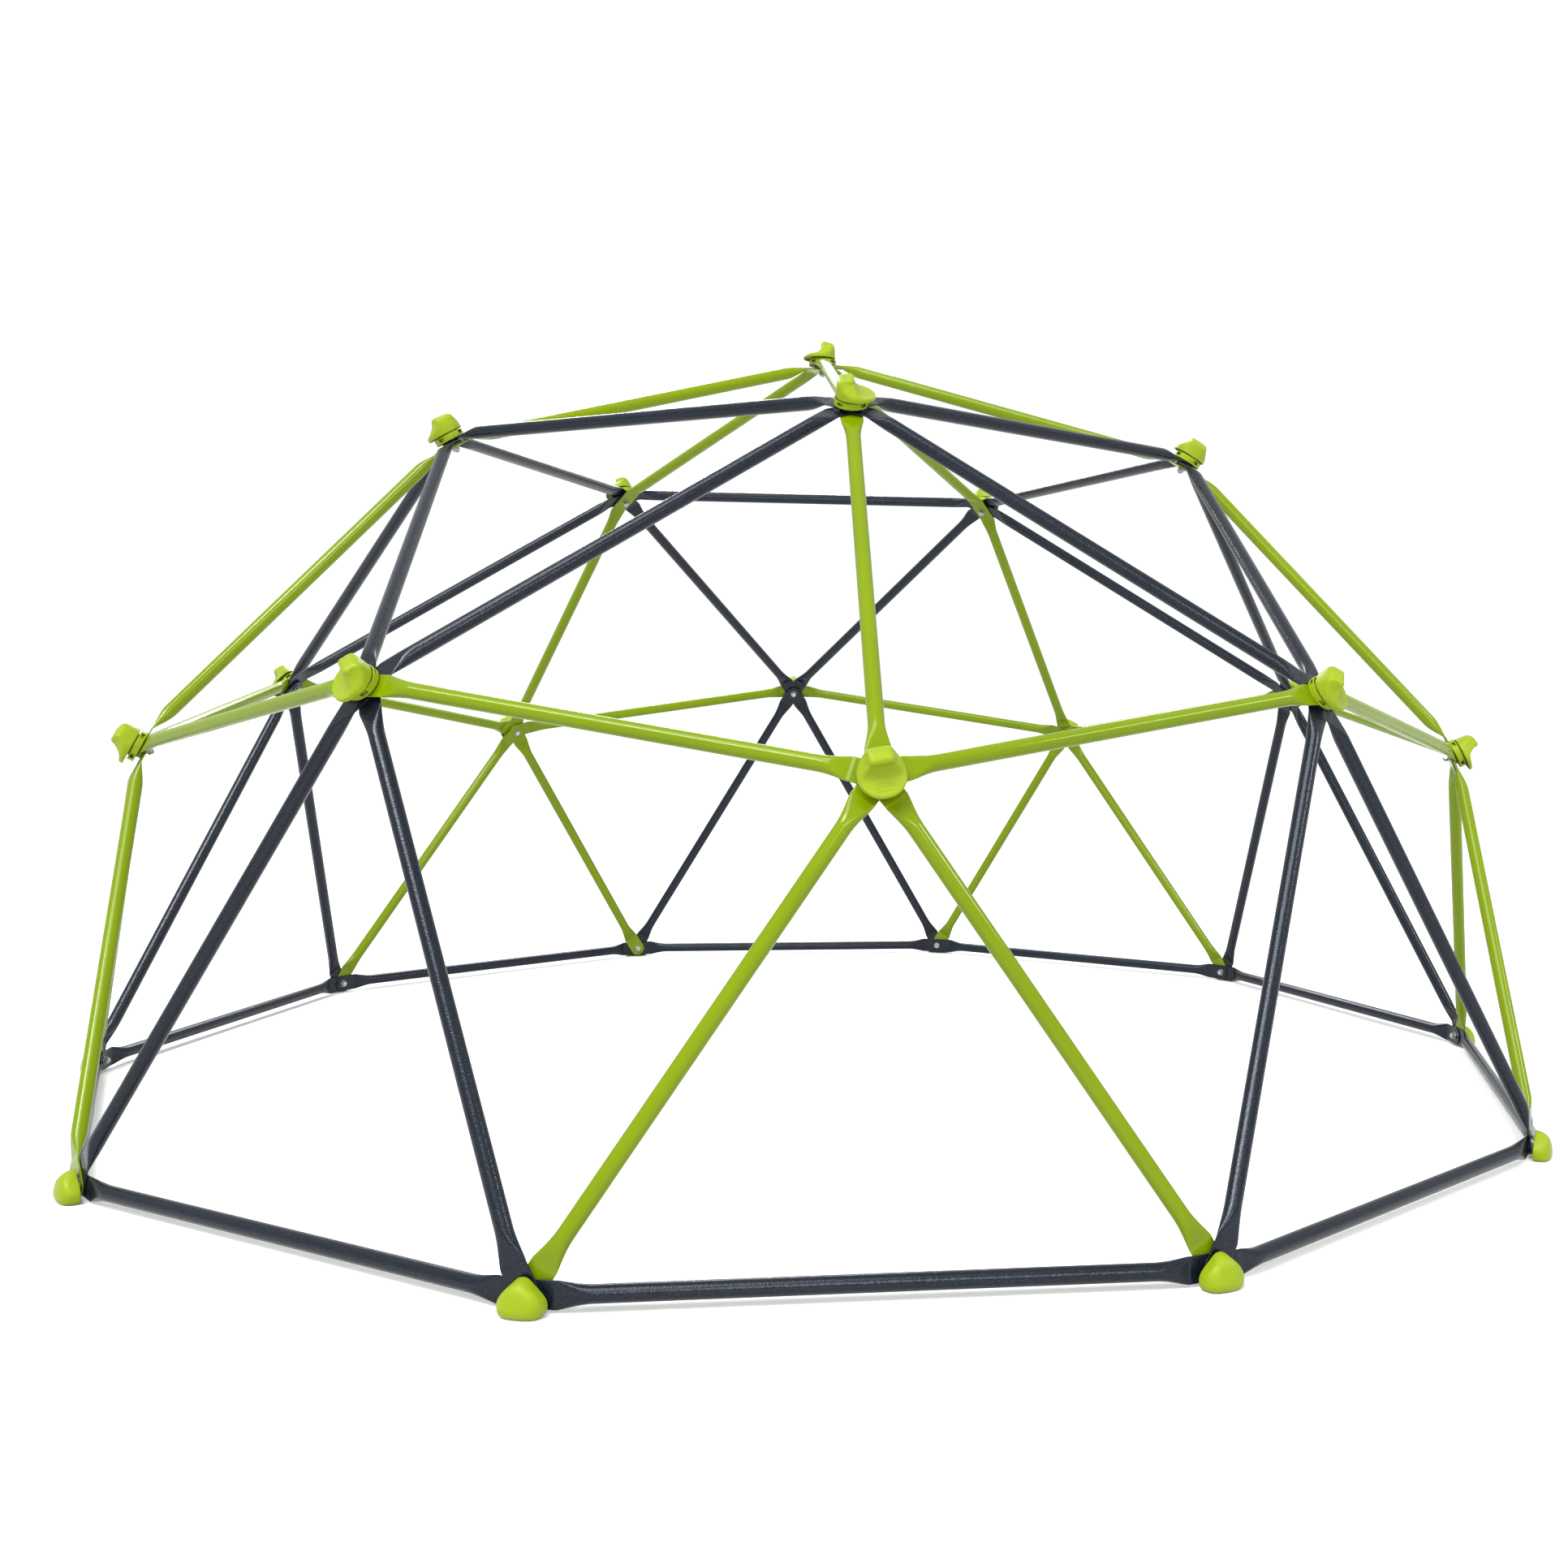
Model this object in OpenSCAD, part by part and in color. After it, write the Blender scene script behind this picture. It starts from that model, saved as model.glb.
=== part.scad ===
// Dome climber: a two-frequency geodesic hemisphere of steel tubes.
// Each tube has flattened, bolted ends, and each hub carries a moulded cap.
// The origin is the middle of the footprint on the ground, +Z is up, and
// the first corner hub of the belt faces -Y.

/* [Dome] */
// Radius of the sphere that passes through the middle of every tab stack
dome_r = 1524; // [1400:1:1600]
// Height of the foot bolts above the ground
base_h = 25; // [25:0.5:27]

/* [Tubes] */
// Outside diameter of a tube
tube_d = 25.4; // [24:0.1:27]
// Wall thickness of a tube
tube_wall = 1.2; // [1.1:0.05:1.2]
// Thickness of a flattened tube end
tab_t = 2.5; // [2.5:0.05:3]
// Width of a flattened tube end
tab_w = 40; // [38:0.5:42]
// Bolt axis to the bend at the end of the flat tab
tab_reach = 40; // [40:0.5:46]
// Length over which the flat end opens out into the round tube
crimp = 50; // [45:1:60]
// Diameter of the drain hole on the inner side of each tube
drain_d = 3; // [2:0.5:4]

/* [Fasteners] */
// Diameter of the bolts
bolt_d = 8; // [8:0.5:9]
// Clearance between a bolt and its hole, on the diameter
bolt_play = 0.6; // [0.4:0.1:1]
// Width of a bolt head or a nut across its flats
hex_af = 13; // [12.5:0.5:14]
// Thickness of a bolt head
head_t = 5.3; // [4.5:0.1:6]
// Thickness of a nut
nut_t = 6.8; // [6:0.1:8]
// Diameter of the wide washers behind the foot caps
washer_d = 28; // [20:1:30]
// Diameter of the washers under the nuts
nut_washer_d = 17; // [15:1:20]
// Thickness of the washers
washer_t = 1.6; // [1.2:0.1:2]

/* [Hub caps] */
// Diameter of the round base under a hub cap
base_ring_d = 60; // [58:0.5:62]
// Height of that base
base_ring_h = 12; // [11:0.5:14]
// Gap between the base and the cap that is snapped into it
cap_gap = 2.5; // [1:0.5:4]
// Radius of the round lower edge of a hub cap
cap_r = 36; // [35:0.5:37]
// How far that edge is centred off the bolt, away from the hump
brim_offset = 7.5; // [7:0.5:8]
// Height of the hump's crest above the cap's lower edge
crest_h = 38; // [37:0.5:40]
// Height of the hump at its back
back_h = 31; // [30:0.5:33]
// Height of the low brim above the cap's lower edge
brim_h = 6; // [5.5:0.5:7]
// Wall thickness of the moulded caps
cap_wall = 2.5; // [2:0.1:2.8]

/* [Foot caps] */
// Width of a foot cap
foot_w = 74; // [70:1:76]
// Height of a foot cap above the foot bolt
foot_top = 25; // [24:0.5:27]
// Depth of a foot cap, away from the tubes
foot_depth = 32; // [30:1:38]
// Gap between the tubes and the back of a foot cap
foot_gap = 5; // [4:0.5:6]

/* [Hidden] */
$fn = 48;
SIDES = 5;                 // the dome repeats five times round its axis
FRONT = -90;               // azimuth of the first corner hub
CLEAR = 0.1;               // gap between pieces that are stacked face to face
PITCH = tab_t + CLEAR;     // distance between neighbouring tabs in a stack
TUBE_R = tube_d / 2;
TAB_R = tab_w / 2;
SIDE_MARGIN = 0.25;        // how far the pressing faces clear the round tube
BEND_STEP = 0.2;           // the pressed tube is this much narrower than its tab
BEND_LAP = 0.8;            // how far a tab's outline runs on past the bend
HOLE_R = (bolt_d + bolt_play) / 2;
RING_R = base_ring_d / 2;
CAP_LIFT = base_ring_h + cap_gap;  // lower edge of a cap above the base's underside
SKIRT_R = 22;                  // outer radius of the skirt that holds a cap to its base
SKIRT_PLAY = 0.1;              // radial play between that skirt and its collar
THREAD_END = 3;                // how far a bolt stands out of its nut
SPRING_D = 14;                 // spring washer behind a foot cap
SPRING_T = 2;
STEEL_GREEN = "#8CAF00";
STEEL_DARK = "#28303A";
CAP_LIME = "#AFCD28";
ZINC = "#C4C6C8";

// How many tabs are bolted together at each kind of hub
CROWN_TABS = 5;
RING_TABS = 6;
CORNER_TABS = 5;
MIDDLE_TABS = 6;
FOOT_TABS = 4;

// ---- Directions of the hubs from the middle of the sphere ----
// The hubs are an icosahedron's corners and the middles of its edges.
// Everything at or above its middle makes the dome.

function unit(v) = v / norm(v);
function direction(azimuth, tilt) =
    [cos(azimuth) * sin(tilt), sin(azimuth) * sin(tilt), cos(tilt)];
function turn(i) = FRONT + i * 360 / SIDES;
CORNER_TILT = atan(2);
CROWN = [0, 0, 1];
function corner(i) = direction(turn(i), CORNER_TILT);
function below(i) = direction(turn(i + 0.5), 180 - CORNER_TILT);
function ring(i) = unit(CROWN + corner(i));
function middle(i) = unit(corner(i) + corner(i + 1));
function foot_before(i) = unit(corner(i) + below(i - 1));
function foot_after(i) = unit(corner(i) + below(i));
FEET = [for (i = [0:SIDES - 1]) each [foot_before(i), foot_after(i)]];

// Height of a tab's middle above the sphere, in a stack counted from outside
function layer(index, tabs) = (tabs / 2 - index - 0.5) * PITCH;
// The place in each foot's stack, counted from outside, of its middle leg, the
// rail that leaves for the next foot, the rail that arrives and its corner leg
FOOT_ORDERS = [
    [0, 1, 2, 3], [0, 1, 2, 3], [0, 1, 2, 3], [0, 3, 2, 1], [0, 3, 2, 1],
    [0, 2, 3, 1], [0, 1, 2, 3], [0, 2, 3, 1], [0, 2, 3, 1], [1, 2, 3, 0]
];
MIDDLE_LEG = 0;
LEAVING_RAIL = 1;
ARRIVING_RAIL = 2;
CORNER_LEG = 3;
function foot_layer(foot, tab) = layer(FOOT_ORDERS[foot][tab], FOOT_TABS);
// Height of a stack's outer face above the sphere
function stack_top(tabs) = tabs / 2 * PITCH;

// ---- Placing ----

// Carries a shape into the frame with the given origin, x axis and z axis
module in_frame(origin, x_axis, z_axis) {
    y_axis = cross(z_axis, x_axis);
    multmatrix([
        [x_axis.x, y_axis.x, z_axis.x, origin.x],
        [x_axis.y, y_axis.y, z_axis.y, origin.y],
        [x_axis.z, y_axis.z, z_axis.z, origin.z],
        [0, 0, 0, 1]
    ]) children();
}

// Stands a shape on a hub: z leaves the dome, and x is turned from the
// direction of the crown (from -Y at the crown itself)
module on_hub(hub, height, heading = 0) {
    rise = hub == CROWN ? [0, -1, 0] : unit(CROWN - hub * hub.z);
    in_frame([0, 0, base_h] + hub * (dome_r + height), rise, hub)
        rotate([0, 0, heading]) children();
}

// ---- Tubes ----

// The direction in which a tube leaves hub p on its way to hub q
function leave(p, q) = unit(q - p * (p * q));

// One edge of a tube seen from the side, bent inwards by angle_p and angle_q
// at its ends: 'side' is 1 for the outer edge and -1 for the inner edge
function bent_edge(length, angle_p, angle_q, side) =
    let (
        reach = tab_reach + TAB_R + 1,
        half = side * tab_t / 2,
        round_half = side * (TUBE_R + SIDE_MARGIN),
        tab_end = function (angle) [-cos(angle), -sin(angle)] * reach
            + [-sin(angle), cos(angle)] * half,
        bend = function (angle)
            [-sin(angle / 2), cos(angle / 2)] * half / cos(angle / 2),
        mirrored = function (v) [length - v.x, v.y]
    ) [
        tab_end(angle_p),
        bend(angle_p),
        [crimp, round_half],
        [length - crimp, round_half],
        mirrored(bend(angle_q)),
        mirrored(tab_end(angle_q))
    ];

function reversed(list) = [for (i = [len(list) - 1:-1:0]) list[i]];

// A side outline in x and z, given width across y
module across(width) {
    rotate([90, 0, 0])
        linear_extrude(width, center = true)
            children();
}

// A turned body along x, wider at both of its ends
module turned(start, length, end_r, mid_r) {
    rotate([0, 90, 0])
        rotate_extrude()
            polygon([
                [0, start], [end_r, start], [mid_r, crimp],
                [mid_r, length - crimp], [end_r, length - start], [0, length - start]
            ]);
}

// The plan outline of a tab, from just past the bend to its round end
module tab_outline() {
    translate([-tab_reach, 0]) circle(TAB_R);
    translate([-tab_reach, -TAB_R]) square([tab_reach + BEND_LAP, tab_w]);
}

module tab_envelope(angle) {
    rotate([0, -angle, 0])
        linear_extrude(2 * tab_w, center = true)
            tab_outline();
}

module tab_hole(angle) {
    rotate([0, -angle, 0])
        translate([-tab_reach, 0, 0])
            cylinder(h = tab_w, r = HOLE_R, center = true);
}

// The hollow inside a tube, which narrows to nothing in each pressed end
module tube_hollow(length) {
    tip = 4;
    half = TUBE_R + SIDE_MARGIN - tube_wall;
    intersection() {
        turned(tip, length, TAB_R - BEND_STEP - tube_wall, TUBE_R - tube_wall);
        across(2 * tab_w)
            polygon([
                [tip, 0], [crimp, -half], [length - crimp, -half],
                [length - tip, 0], [length - crimp, half], [crimp, half]
            ]);
    }
}

// A tube between hubs p and q, with its tabs at the given stack heights
module tube(p, q, height_p, height_q) {
    start = p * (dome_r + height_p) + leave(p, q) * tab_reach;
    end = q * (dome_r + height_q) + leave(q, p) * tab_reach;
    length = norm(end - start);
    along = (end - start) / length;
    angle_p = acos(leave(p, q) * along);
    angle_q = acos(-leave(q, p) * along);
    in_frame([0, 0, base_h] + start, along, cross(along, unit(cross(p, q))))
        difference() {
            intersection() {
                across(2 * tab_w)
                    polygon(concat(
                        bent_edge(length, angle_p, angle_q, 1),
                        reversed(bent_edge(length, angle_p, angle_q, -1))
                    ));
                union() {
                    turned(0, length, TAB_R - BEND_STEP, TUBE_R);
                    tab_envelope(angle_p);
                    translate([length, 0, 0]) mirror([1, 0, 0]) tab_envelope(angle_q);
                }
            }
            tube_hollow(length);
            tab_hole(angle_p);
            translate([length, 0, 0]) mirror([1, 0, 0]) tab_hole(angle_q);
            translate([2 * crimp, 0, -TUBE_R]) cylinder(h = TUBE_R, d = drain_d, center = true);
        }
}

module base_rail(i) {
    next = (i + 1) % len(FEET);
    color(STEEL_DARK)
        tube(FEET[i], FEET[next], foot_layer(i, LEAVING_RAIL), foot_layer(next, ARRIVING_RAIL));
}

module crown_spoke(i) {
    color(STEEL_GREEN) tube(CROWN, ring(i), layer(i, CROWN_TABS), layer(5, RING_TABS));
}

module ring_rail(i) {
    color(STEEL_DARK) tube(ring(i), ring(i + 1), layer(0, RING_TABS), layer(1, RING_TABS));
}

module shoulder_bar(i) {
    color(STEEL_GREEN) tube(ring(i), corner(i), layer(4, RING_TABS), layer(0, CORNER_TABS));
}

module shoulder_braces(i) {
    color(STEEL_DARK) {
        tube(ring(i), middle(i), layer(2, RING_TABS), layer(2, MIDDLE_TABS));
        tube(ring(i + 1), middle(i), layer(3, RING_TABS), layer(3, MIDDLE_TABS));
    }
}

module belt_rails(i) {
    color(STEEL_GREEN) {
        tube(corner(i), middle(i), layer(1, CORNER_TABS), layer(0, MIDDLE_TABS));
        tube(corner(i), middle(i - 1), layer(2, CORNER_TABS), layer(1, MIDDLE_TABS));
    }
}

module corner_legs(i) {
    color(STEEL_GREEN)
        for (k = [0, 1]) {
            foot = 2 * i + k;
            tube(corner(i), FEET[foot], layer(3 + k, CORNER_TABS), foot_layer(foot, CORNER_LEG));
        }
}

module middle_legs(i) {
    color(STEEL_DARK)
        for (k = [0, 1]) {
            foot = (2 * i + 1 + k) % len(FEET);
            tube(middle(i), FEET[foot], layer(4 + k, MIDDLE_TABS), foot_layer(foot, MIDDLE_LEG));
        }
}

// ---- Fasteners ----

function hex_r(flats) = flats / 2 / cos(30);

module washer(diameter, thickness) {
    difference() {
        cylinder(h = thickness, d = diameter);
        translate([0, 0, -1]) cylinder(h = thickness + 2, r = HOLE_R);
    }
}

// A hex bolt whose head stands on z = 0
module bolt(shank) {
    cylinder(h = head_t, r = hex_r(hex_af), $fn = 6);
    translate([0, 0, -shank]) cylinder(h = shank + 1, d = bolt_d);
}

// A nut that hangs below z = 0
module nut() {
    thread_play = 0.05;
    difference() {
        translate([0, 0, -nut_t]) cylinder(h = nut_t, r = hex_r(hex_af), $fn = 6);
        translate([0, 0, -nut_t - 1]) cylinder(h = nut_t + 2, d = bolt_d + thread_play);
    }
}

function nut_top(tabs) = -stack_top(tabs) - 2 * CLEAR - washer_t;
function shank(head_at, tabs) = head_at - nut_top(tabs) + nut_t + THREAD_END;

// ---- Outlines ----

// Direction of the outward normal where a tangent runs from circle a to
// circle b, each given as [x, y, radius] and listed anticlockwise
function tangent(a, b) =
    let (gap = [b.x - a.x, b.y - a.y])
    atan2(gap.y, gap.x) - acos((a.z - b.z) / norm(gap));

// A closed outline round a list of circles, drawn in by 'inset'
function around(circles, inset = 0, steps = 10) = [
    for (i = [0:len(circles) - 1])
        let (
            count = len(circles),
            c = circles[i],
            from = tangent(circles[(i + count - 1) % count], c),
            to = tangent(c, circles[(i + 1) % count]),
            sweep = to - from - 360 * floor((to - from) / 360)
        )
        for (s = [0:steps])
            let (angle = from + sweep * s / steps)
            [c.x, c.y] + (c.z - inset) * [cos(angle), sin(angle)]
];

// ---- Hub caps ----

CAP_FRONT = -brim_offset - cap_r;      // tip of the brim
CAP_BACK = -brim_offset + cap_r;       // back of the hump
ROLL_R = 7.5;                          // rounding of the crest, seen from the side
ROLL_AT = 3.5;                         // where the crest's rounding is centred
RAMP_END = [ROLL_AT - ROLL_R + 1.5, crest_h - 1.8 * ROLL_R];
SHOULDER = [cap_r + 1, 8];             // where a shoulder starts, seen from the front
CREST_W = 30;                          // width of the crest between its rounded ends

// The cap seen from the side: a brim, a concave ramp and a hump whose crest
// leans forward, drawn in by 'inset'
function cap_side(inset) =
    let (
        ramp_steps = 8,
        roll_steps = 8,
        roll_from = 205,
        roll_to = 70,
        ramp_power = 3,
        front = CAP_FRONT + inset,
        start = brim_h - inset,
        rise = RAMP_END.y - brim_h,
        run = RAMP_END.x + inset - front
    ) concat(
        [[CAP_BACK - inset, 0], [front, 0]],
        [for (i = [0:ramp_steps])
            let (t = i / ramp_steps) [front + run * t, start + rise * pow(t, ramp_power)]],
        [for (i = [0:roll_steps])
            let (angle = roll_from + (roll_to - roll_from) * i / roll_steps)
            [ROLL_AT, crest_h - ROLL_R] + (ROLL_R - inset) * [cos(angle), sin(angle)]],
        [[CAP_BACK - inset - 5, back_h - inset], [CAP_BACK - inset - 2, back_h - inset - 3]]
    );

// Half of the cap seen from the front: a straight shoulder up to the crest
function cap_front(inset) = [
    [SHOULDER.x - inset, 0],
    [SHOULDER.x - inset, SHOULDER.y - inset],
    [CREST_W / 2 + 4 - inset, crest_h - 7 - inset],
    [CREST_W / 2 - inset, crest_h - 1.5 - inset],
    [CREST_W / 2 - 4 - inset, crest_h + 1 - inset]
];

// The cap's outer form, drawn in by 'inset'
module cap_form(inset) {
    half = cap_front(inset);
    intersection() {
        translate([-brim_offset, 0, 0]) cylinder(h = crest_h + 2, r = cap_r - inset);
        across(3 * cap_r) polygon(cap_side(inset));
        rotate([90, 0, 90])
            linear_extrude(4 * cap_r, center = true)
                polygon(concat(half, [for (v = reversed(half)) [-v.x, v.y]]));
    }
}

// A round tube wall that stands on z = 0
module ring_wall(height, inner_r, outer_r) {
    difference() {
        cylinder(h = height, r = outer_r);
        translate([0, 0, -1]) cylinder(h = height + 2, r = inner_r);
    }
}

// The skirt of a cap: it hangs into the collar of the base, and rises
// inside the cap until it meets the shell
module cap_skirt() {
    drop = cap_gap + base_ring_h - cap_wall - 1;
    lap = 1;
    translate([0, 0, -drop]) ring_wall(drop + lap, SKIRT_R - cap_wall, SKIRT_R);
    intersection() {
        ring_wall(crest_h, SKIRT_R - cap_wall, SKIRT_R);
        cap_form(cap_wall / 2);
    }
}

module cap_shell() {
    difference() {
        cap_form(0);
        translate([0, 0, -CLEAR]) cap_form(cap_wall);
    }
    cap_skirt();
}

// A dish with an outer wall, and a collar inside it for the cap's skirt
module cap_base() {
    window_w = 12;
    window_h = 6;
    window_low = cap_wall + 1;
    difference() {
        union() {
            ring_wall(cap_wall, HOLE_R, RING_R - 0.5);
            ring_wall(base_ring_h, RING_R - cap_wall, RING_R);
            ring_wall(base_ring_h, SKIRT_R + SKIRT_PLAY, SKIRT_R + SKIRT_PLAY + cap_wall);
        }
        for (i = [0:3])
            rotate([0, 0, 45 + 90 * i])
                translate([RING_R, 0, window_low + window_h / 2])
                    cube([3 * cap_wall, window_w, window_h], center = true);
    }
}

module place_cap_base(hub, tabs) {
    color(CAP_LIME) on_hub(hub, stack_top(tabs) + CLEAR) cap_base();
}

module place_cap(hub, tabs, heading) {
    color(CAP_LIME) on_hub(hub, stack_top(tabs) + CLEAR + CAP_LIFT, heading) cap_shell();
}

// Which way each hump points, anticlockwise from the crown seen from outside
CROWN_HEADING = 90;
RING_HEADINGS = [90, 110, 0, 40, -70];
CORNER_HEADINGS = [12, 0, 30, -30, -45];
MIDDLE_HEADINGS = [50, 20, -40, 40, -40];

// ---- Foot caps ----

FOOT_CORNER_R = 14;
FOOT_CROWN_R = 13;
FOOT_PLAN = [
    [foot_w / 2 - FOOT_CORNER_R, FOOT_CORNER_R - base_h, FOOT_CORNER_R],
    [0, foot_top - FOOT_CROWN_R, FOOT_CROWN_R],
    [FOOT_CORNER_R - foot_w / 2, FOOT_CORNER_R - base_h, FOOT_CORNER_R]
];
FOOT_FACE_R = 50;    // bulge of the front face
// Underside of a foot bolt's head, above the outer face of its tabs
FOOT_HEAD_AT = 3 * CLEAR + washer_t + SPRING_T;
// Depth of the socket that grips that head
FOOT_SOCKET = FOOT_HEAD_AT + head_t + CLEAR - foot_gap;

// The foot cap's outer form: x is level, y is up and z leaves the dome
module foot_form(inset) {
    intersection() {
        linear_extrude(foot_depth) polygon(around(FOOT_PLAN, inset));
        translate([0, -base_h / 2, foot_depth - FOOT_FACE_R]) sphere(FOOT_FACE_R - inset, $fn = 96);
    }
}

module foot_cap() {
    boss_r = hex_r(hex_af) + cap_wall;
    difference() {
        union() {
            difference() {
                foot_form(0);
                translate([0, 0, -0.01]) foot_form(cap_wall);
            }
            intersection() {
                cylinder(h = foot_depth, r = boss_r);
                foot_form(cap_wall / 2);
            }
        }
        // turned so that its flats meet those of the bolt's head
        rotate([0, 0, 90])
            translate([0, 0, -1])
                cylinder(h = FOOT_SOCKET + 1, r = hex_r(hex_af) + CLEAR, $fn = 6);
    }
}

// ---- Sub-parts drawn at every hub of a kind ----

module ring_cap_bases() { for (i = [0:SIDES - 1]) place_cap_base(ring(i), RING_TABS); }
module corner_cap_bases() { for (i = [0:SIDES - 1]) place_cap_base(corner(i), CORNER_TABS); }
module middle_cap_bases() { for (i = [0:SIDES - 1]) place_cap_base(middle(i), MIDDLE_TABS); }
module ring_caps() { for (i = [0:SIDES - 1]) place_cap(ring(i), RING_TABS, RING_HEADINGS[i]); }
module corner_caps() { for (i = [0:SIDES - 1]) place_cap(corner(i), CORNER_TABS, CORNER_HEADINGS[i]); }
module middle_caps() { for (i = [0:SIDES - 1]) place_cap(middle(i), MIDDLE_TABS, MIDDLE_HEADINGS[i]); }

module foot_caps() {
    color(CAP_LIME)
        for (foot = FEET)
            on_hub(foot, stack_top(FOOT_TABS) + foot_gap) rotate([0, 0, -90]) foot_cap();
}

// Every hub above the feet, with the number of its tabs
UPPER_HUBS = concat(
    [[CROWN, CROWN_TABS]],
    [for (i = [0:SIDES - 1]) each [
        [ring(i), RING_TABS], [corner(i), CORNER_TABS], [middle(i), MIDDLE_TABS]
    ]]
);

module hub_bolts() {
    color(ZINC)
        for (h = UPPER_HUBS) {
            head_at = stack_top(h[1]) + 2 * CLEAR + cap_wall;
            on_hub(h[0], head_at) bolt(shank(head_at, h[1]));
        }
}

module hub_washers() {
    color(ZINC)
        for (h = UPPER_HUBS)
            on_hub(h[0], -stack_top(h[1]) - CLEAR - washer_t) washer(nut_washer_d, washer_t);
}

module hub_nuts() {
    color(ZINC)
        for (h = UPPER_HUBS)
            on_hub(h[0], nut_top(h[1])) nut();
}

module foot_bolts() {
    color(ZINC)
        for (foot = FEET) {
            head_at = stack_top(FOOT_TABS) + FOOT_HEAD_AT;
            on_hub(foot, head_at) bolt(shank(head_at, FOOT_TABS));
        }
}

module foot_washers() {
    top = stack_top(FOOT_TABS);
    color(ZINC)
        for (foot = FEET) {
            on_hub(foot, top + CLEAR) washer(washer_d, washer_t);
            on_hub(foot, top + 2 * CLEAR + washer_t) washer(SPRING_D, SPRING_T);
            on_hub(foot, -top - CLEAR - washer_t) washer(nut_washer_d, washer_t);
        }
}

module foot_nuts() {
    color(ZINC)
        for (foot = FEET)
            on_hub(foot, nut_top(FOOT_TABS)) nut();
}

for (i = [0:2 * SIDES - 1])
    base_rail(i);
for (i = [0:SIDES - 1]) {
    crown_spoke(i);
    ring_rail(i);
    shoulder_bar(i);
    shoulder_braces(i);
    belt_rails(i);
    corner_legs(i);
    middle_legs(i);
}
place_cap_base(CROWN, CROWN_TABS);  // crown_cap_base
place_cap(CROWN, CROWN_TABS, CROWN_HEADING);  // crown_cap
ring_cap_bases();
ring_caps();
corner_cap_bases();
corner_caps();
middle_cap_bases();
middle_caps();
foot_caps();
hub_bolts();
hub_washers();
hub_nuts();
foot_bolts();
foot_washers();
foot_nuts();
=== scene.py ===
"""The looks of the dome climber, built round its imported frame.

Shapes are worked out in millimetres, and every place follows from the dome's own geometry."""

import math

import bpy
import numpy as np
from mathutils import Matrix, Vector


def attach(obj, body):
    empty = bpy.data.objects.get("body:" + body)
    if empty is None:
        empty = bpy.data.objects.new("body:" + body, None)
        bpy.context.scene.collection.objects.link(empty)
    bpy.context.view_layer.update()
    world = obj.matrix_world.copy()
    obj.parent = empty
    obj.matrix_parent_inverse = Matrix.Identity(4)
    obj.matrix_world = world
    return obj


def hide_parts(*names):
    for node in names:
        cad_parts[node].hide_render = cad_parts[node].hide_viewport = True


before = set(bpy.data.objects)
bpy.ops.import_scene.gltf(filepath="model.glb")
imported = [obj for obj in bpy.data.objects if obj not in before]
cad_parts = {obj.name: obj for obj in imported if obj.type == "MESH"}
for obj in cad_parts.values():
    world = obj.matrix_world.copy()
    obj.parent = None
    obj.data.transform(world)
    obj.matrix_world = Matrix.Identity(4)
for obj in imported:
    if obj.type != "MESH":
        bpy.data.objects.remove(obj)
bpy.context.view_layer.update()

MM = 0.001

# ---- The dome's driving sizes ----
DOME_R, BASE_H = 1524.0, 25.0
TUBE_R, TAB_HALF_T, TAB_R, TAB_REACH, CRIMP = 12.7, 1.25, 20.0, 40.0, 50.0
CLEAR, PITCH = 0.1, 2.6
BOLT_R, HOLE_R, HEX_AF, HEAD_T, NUT_T = 4.0, 4.3, 13.0, 5.3, 6.8
WASHER_R, NUT_WASHER_R, WASHER_T, SPRING_R, SPRING_T = 14.0, 8.5, 1.6, 7.0, 2.0
RING_R, RING_H, CAP_GAP, CAP_WALL = 30.0, 12.0, 2.5, 2.5
SKIRT_R, SKIRT_PLAY, THREAD_END = 22.0, 0.1, 3.0
FOOT_GAP = 5.0
CROWN_TABS, RING_TABS, CORNER_TABS, MIDDLE_TABS, FOOT_TABS = 5, 6, 5, 6, 4
CROWN_HEADING = 90
RING_HEADINGS = [90, 110, 0, 40, -70]
CORNER_HEADINGS = [12, 0, 30, -30, -45]
MIDDLE_HEADINGS = [50, 20, -40, 40, -40]
SIDES = 5
# The place in each foot's stack, counted from outside, of its middle leg, the
# rail that leaves for the next foot, the rail that arrives and its corner leg
FOOT_ORDERS = [
    [0, 1, 2, 3], [0, 1, 2, 3], [0, 1, 2, 3], [0, 3, 2, 1], [0, 3, 2, 1],
    [0, 2, 3, 1], [0, 1, 2, 3], [0, 2, 3, 1], [0, 2, 3, 1], [1, 2, 3, 0],
]
MIDDLE_LEG, LEAVING_RAIL, ARRIVING_RAIL, CORNER_LEG = range(4)


def unit(v):
    return np.asarray(v, float) / np.linalg.norm(v)


def direction(azimuth, tilt):
    a, t = math.radians(azimuth), math.radians(tilt)
    return np.array([math.cos(a) * math.sin(t), math.sin(a) * math.sin(t), math.cos(t)])


def turn(i):
    return -90 + i * 360 / SIDES


CORNER_TILT = math.degrees(math.atan(2))
CROWN = np.array([0.0, 0.0, 1.0])


def corner(i):
    return direction(turn(i), CORNER_TILT)


def below(i):
    return direction(turn(i + 0.5), 180 - CORNER_TILT)


def ring(i):
    return unit(CROWN + corner(i))


def middle(i):
    return unit(corner(i) + corner(i + 1))


def foot_before(i):
    return unit(corner(i) + below(i - 1))


def foot_after(i):
    return unit(corner(i) + below(i))


FEET = [foot(i) for i in range(SIDES) for foot in (foot_before, foot_after)]


def layer(index, tabs):
    return (tabs / 2 - index - 0.5) * PITCH


def foot_layer(foot, tab):
    return layer(FOOT_ORDERS[foot][tab], FOOT_TABS)


def stack_top(tabs):
    return tabs / 2 * PITCH


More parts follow.
